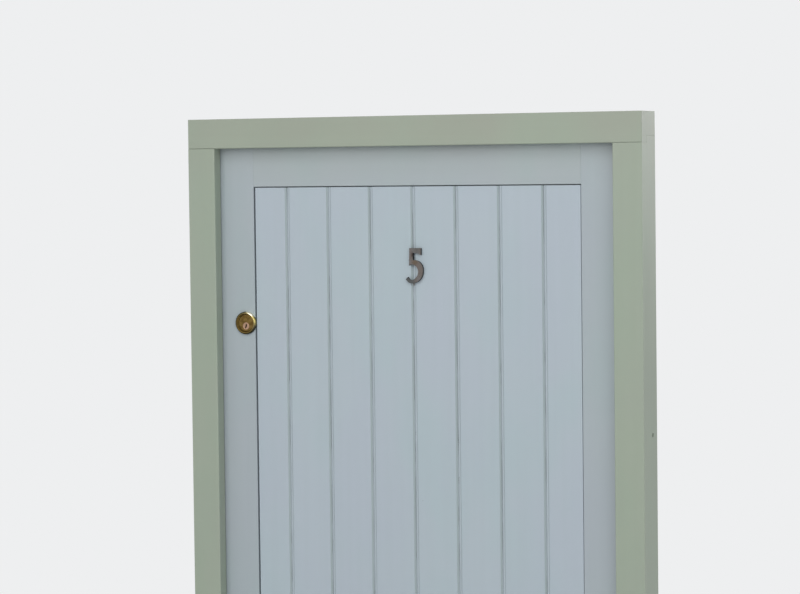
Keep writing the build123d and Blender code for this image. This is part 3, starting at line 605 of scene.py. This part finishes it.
def hingeHeights(node):
    # middle heights of the two hinges that a leaf hangs on
    low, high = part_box(node)
    half = hinges["tall"] / 2 * mm
    return [low.z + half, high.z - half]


def plateScrews(name, heights, x, looks, body):
    # three staggered screws in each hinge plate
    places = []
    for height in heights:
        for up, back in ((-hingeScrews["up"], "near"), (0, "far"), (hingeScrews["up"], "near")):
            spot = Vector((x, innerFace - hingeScrews[back] * mm, height + up * mm))
            places.append(aimed(spot, (looks, 0, 0), dice.uniform(0, math.pi)))
    return gather(name, lambda: screwShape(hingeScrews), places, "steel", body)


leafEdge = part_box("upper_hinge_stile")[1].x
upperHinges, lowerHinges = hingeHeights("upper_hinge_leaves"), hingeHeights("lower_hinge_leaves")
plateScrews("jambHingeScrews", lowerHinges + upperHinges, leafEdge + hinges["sideGap"] * mm, -1, "frame")
plateScrews("upperHingeScrews", upperHinges, leafEdge, 1, "upper_leaf")
plateScrews("lowerHingeScrews", lowerHinges, leafEdge, 1, "lower_leaf")

hingeCaps = {
    "radius": 5.2,
    "neck": 3.4,
    "tall": 4.0,
    "foot": -0.2,                           # sunk in the knuckle
    "under": (0.6, 0.9),                    # heights where it leaves the neck, reaches its rim
    "rim": 1.7,
    "shoulder": (0.86, 2.8),                # share of the radius, height
    "crown": (0.5, 0.92),                   # shares of the radius and of the height
}


def hingeCapShape():
    # a button on a short neck
    r, neck, tall, foot = (hingeCaps[k] * mm for k in ("radius", "neck", "tall", "foot"))
    inner, outer = hingeCaps["under"]
    steps = [(0, foot), (neck, foot), (neck, inner * mm), (r, outer * mm), (r, hingeCaps["rim"] * mm)]
    share, height = hingeCaps["shoulder"]
    steps.append((r * share, height * mm))
    share, rise = hingeCaps["crown"]
    steps += [(r * share, tall * rise), (0, tall)]
    return turnedShape(steps)


def hingeCapPlaces():
    low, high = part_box("frame_hinge_leaves")
    pinX, pinY = low.x + hinges["knuckle"] * mm, high.y - hinges["knuckle"] * mm
    reach = (hinges["tall"] / 2 - hinges["cap"]) * mm
    for height in lowerHinges + upperHinges:
        for side in (-1, 1):
            yield aimed(Vector((pinX, pinY, height + side * reach)), (0, 0, side))


gather("hingePinCaps", hingeCapShape, list(hingeCapPlaces()), "steel", "frame")
print("hinges finished")

ringTurning = {"rim": 0.9, "crest": 0.87, "lip": 2.2, "wall": 0.2, "roundSteps": 7, "roundAngle": 112,
               "roundPower": 0.9, "dishShares": (0.25, 0.5, 0.75, 1.0), "dishPower": 0.8, "around": 96}


def ringShape():
    # the ring as turned: a short rim, a full round over the crest and a dished inside
    reach = (ringHigh.x - ringLow.x) / 2
    tall = ringHigh.y - ringLow.y
    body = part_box("cylinder_body")
    bore = (body[1].x - body[0].x) / 2 + ringTurning["wall"] * mm
    crest = reach * ringTurning["crest"]
    rim = ringTurning["rim"] * mm
    steps = [(bore, 0), (reach, 0)]
    for i in range(ringTurning["roundSteps"] + 1):
        turn = i / ringTurning["roundSteps"] * math.radians(ringTurning["roundAngle"])
        bulge = math.sin(turn) ** ringTurning["roundPower"]
        steps.append((crest + (reach - crest) * math.cos(turn), rim + (tall - rim) * bulge))
    lip = ringTurning["lip"] * mm
    radius, height = steps[-1]
    for share in ringTurning["dishShares"]:
        sink = share ** ringTurning["dishPower"]
        steps.append((radius + (bore - radius) * share, height + (lip - height) * sink))
    steps.append((bore, 0))
    shape = turnedShape(steps, around=ringTurning["around"])
    bmesh.ops.remove_doubles(shape, verts=shape.verts, dist=1e-6)
    return shape


ringSeat = Vector((ringMiddle.x, ringHigh.y, ringMiddle.z))
turnedRing = gather("turnedRing", ringShape, [aimed(ringSeat, (0, -1, 0))], "ring", "upper_leaf")
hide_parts("cylinder_ring")

# corners: share of the width, and -1 for the lower end or 1 for the upper
latchScrews = {"radius": 3.4, "rise": 1.6, "slot": 0.9, "slotDepth": 1.0, "inset": 9.0,
               "corners": ((0.88, -1), (0.88, 1), (0.12, -1))}
keepScrews = {"radius": 2.8, "rise": 1.3, "slot": 0.8, "slotDepth": 0.9, "inset": 8.0,
              "corners": ((0.5, -1), (0.5, 1))}


def faceScrews(name, head, spots, face, body):
    # black screws at x, z on a face that looks inwards, each with its slot turned by chance
    places = [aimed(Vector((x, face, z)), (0, 1, 0), dice.uniform(0, math.pi)) for x, z in spots]
    return gather(name, lambda: screwShape(head), places, "black", body)


def cornerScrews(name, node, head, body):
    # screws on a node's inner face, an inset away from its ends
    low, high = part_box(node)
    inset = head["inset"] * mm
    spots = []
    for share, end in head["corners"]:
        z = low.z + inset if end < 0 else high.z - inset
        spots.append((low.x + (high.x - low.x) * share, z))
    return faceScrews(name, head, spots, high.y, body)


cornerScrews("latchCaseScrews", "latch_case", latchScrews, "upper_leaf")
cornerScrews("latchKeepScrews", "latch_keep", keepScrews, "frame")

boltScrews = {"radius": 3.3, "rise": 1.0, "slot": 0.8, "slotDepth": 0.7,
              "along": 24.0, "inset": 4.8, "plate": 2.5}
stapleScrews = {"radius": 2.2, "rise": 0.8, "slot": 0.6, "slotDepth": 0.6, "inset": 3.1, "plate": 1.5}


def boltPlateScrews(name, node, body):
    # four screws in the plate of a tower bolt, clear of its guides
    low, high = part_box(node)
    standing = high.z - low.z > high.x - low.x
    along, inset = boltScrews["along"] * mm, boltScrews["inset"] * mm
    fromSide, fromEnd = (inset, along) if standing else (along, inset)
    spots = []
    for end in (0, 1):
        for side in (0, 1):
            lowX, lowZ = (side, end) if standing else (end, side)
            x = low.x + fromSide if lowX else high.x - fromSide
            z = low.z + fromEnd if lowZ else high.z - fromEnd
            spots.append((x, z))
    return faceScrews(name, boltScrews, spots, innerFace + boltScrews["plate"] * mm, body)


def staplePlateScrews(name, node, body):
    # one screw in each wing of a keep's plate
    low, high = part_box(node)
    middle = (low + high) / 2
    inset = stapleScrews["inset"] * mm
    if high.z - low.z > high.x - low.x:
        spots = [(middle.x, low.z + inset), (middle.x, high.z - inset)]
    else:
        spots = [(low.x + inset, middle.z), (high.x - inset, middle.z)]
    return faceScrews(name, stapleScrews, spots, innerFace + stapleScrews["plate"] * mm, body)


boltPlateScrews("meetingBoltScrews", "meeting_bolt_case", "upper_leaf")
boltPlateScrews("bottomBoltScrews", "bottom_bolt_case", "lower_leaf")
staplePlateScrews("meetingKeepScrews", "meeting_bolt_keep", "lower_leaf")
staplePlateScrews("bottomKeepScrews", "bottom_bolt_keep", "frame")
print("locks and bolts finished")

# camera: the photograph's place and lens; target and away in mm, clip in m

eye = {"target": (-29.0, 26.0, 1751.2), "away": 5213.0, "yaw": 25.0, "pitch": -2.69, "roll": -0.68,
       "focalPixels": 2762.0, "widthPixels": 800.0, "sensor": 36, "clip": (0.1, 100)}


def aimCamera():
    yaw, pitch, roll = (math.radians(eye[k]) for k in ("yaw", "pitch", "roll"))
    ahead = Vector((-math.sin(yaw) * math.cos(pitch), math.cos(yaw) * math.cos(pitch), math.sin(pitch)))
    right = Vector((math.cos(yaw), math.sin(yaw), 0))
    up = right.cross(ahead)
    camRight = math.cos(roll) * right + math.sin(roll) * up
    camUp = -math.sin(roll) * right + math.cos(roll) * up
    data = bpy.data.cameras.new("photoCamera")
    data.sensor_fit = "HORIZONTAL"
    data.sensor_width = eye["sensor"]
    data.lens = eye["focalPixels"] / eye["widthPixels"] * eye["sensor"]
    data.clip_start, data.clip_end = eye["clip"]
    camera = placed("photoCamera", data)
    turn = Matrix((camRight, camUp, -ahead)).transposed().to_4x4()
    camera.matrix_world = Matrix.Translation((Vector(eye["target"]) - eye["away"] * ahead) * mm) @ turn
    bpy.context.scene.camera = camera


aimCamera()

# studio: pale floor that fades into the backdrop, soft lamps, even sky; in m and W

studio = {
    "floor": srgb(226, 227, 227),
    "floorTone": (0.985, 0.985, 0.985),
    "floorRoughness": 0.8,
    "floorSize": 14.0,
    "floorDrop": 0.5 * mm,
    "fade": (1.2, 4.0),
    "backdrop": srgb(238, 239, 240),
    "sky": (0.86, 0.88, 0.90, 1),
    "skyStrength": 0.5,
    "aim": (0.0, 0.0, 1.2),
    "lamps": {
        "key": {"place": (-1.1, -4.6, 3.3), "size": 2.6, "power": 62, "colour": (1.0, 0.99, 0.97)},
        "above": {"place": (0.2, -2.8, 4.8), "size": 1.6, "power": 34, "colour": (0.98, 0.99, 1.0)},
        "fill": {"place": (3.4, -3.4, 2.6), "size": 3.0, "power": 50, "colour": (0.97, 0.99, 1.0)},
        "back": {"place": (0.6, 3.8, 3.2), "size": 3.0, "power": 100, "colour": (1.0, 1.0, 1.0)},
    },
}


def seenRay(sheet):
    # 1 for what the camera sees, straight, in metal or through glass
    rays = ("Is Camera Ray", "Is Glossy Ray", "Is Transmission Ray")
    straight, mirrored, through = (sheet.add("ShaderNodeLightPath", give=ray) for ray in rays)
    return straight.maths("MAXIMUM", straight, mirrored.maths("MAXIMUM", mirrored, through))


def makeFloor():
    half = studio["floorSize"] / 2
    mesh = bpy.data.meshes.new("floor")
    corners = [(-half, -half, 0), (half, -half, 0), (half, half, 0), (-half, half, 0)]
    mesh.from_pydata(corners, [], [(0, 1, 2, 3)])
    floor = placed("floor", mesh)
    floor.location.z = -studio["floorDrop"]
    s = Sheet("paleFloor")
    soft = s.noise(3.0, detail=2)
    shade = toned(studio["floor"], *studio["floorTone"])
    shader = s.surface(soft.ramp(0.3, 0.7).mix(studio["floor"], shade), studio["floorRoughness"])
    out = s.add("ShaderNodeVectorMath", {"operation": "LENGTH"}, {0: s.place}, give=1)
    pale = s.add("ShaderNodeEmission", {}, {"Color": studio["backdrop"], "Strength": 1.0})
    far = out.ramp(*studio["fade"]) * seenRay(s)
    mesh.materials.append(s.done(s.add("ShaderNodeMixShader", {}, {0: far, 1: shader, 2: pale})))


def makeSky():
    s = Sheet("studioSky", "worlds")
    even = s.add("ShaderNodeBackground", {}, {"Color": studio["sky"], "Strength": studio["skyStrength"]})
    pale = s.add("ShaderNodeBackground", {}, {"Color": studio["backdrop"], "Strength": 1.0})
    both = s.add("ShaderNodeMixShader", {}, {0: seenRay(s), 1: even, 2: pale})
    bpy.context.scene.world = s.done(both, "ShaderNodeOutputWorld")


def makeLamps():
    for name, lamp in studio["lamps"].items():
        data = bpy.data.lights.new(name, "AREA")
        data.shape = "SQUARE"
        data.size = lamp["size"]
        data.energy = lamp["power"]
        data.color = lamp["colour"]
        away = Vector(lamp["place"]) - Vector(studio["aim"])
        placed(name, data).matrix_world = aimed(lamp["place"], away)


makeFloor()
makeSky()
makeLamps()
bpy.context.scene.view_settings.view_transform = "Standard"
print("camera and studio")
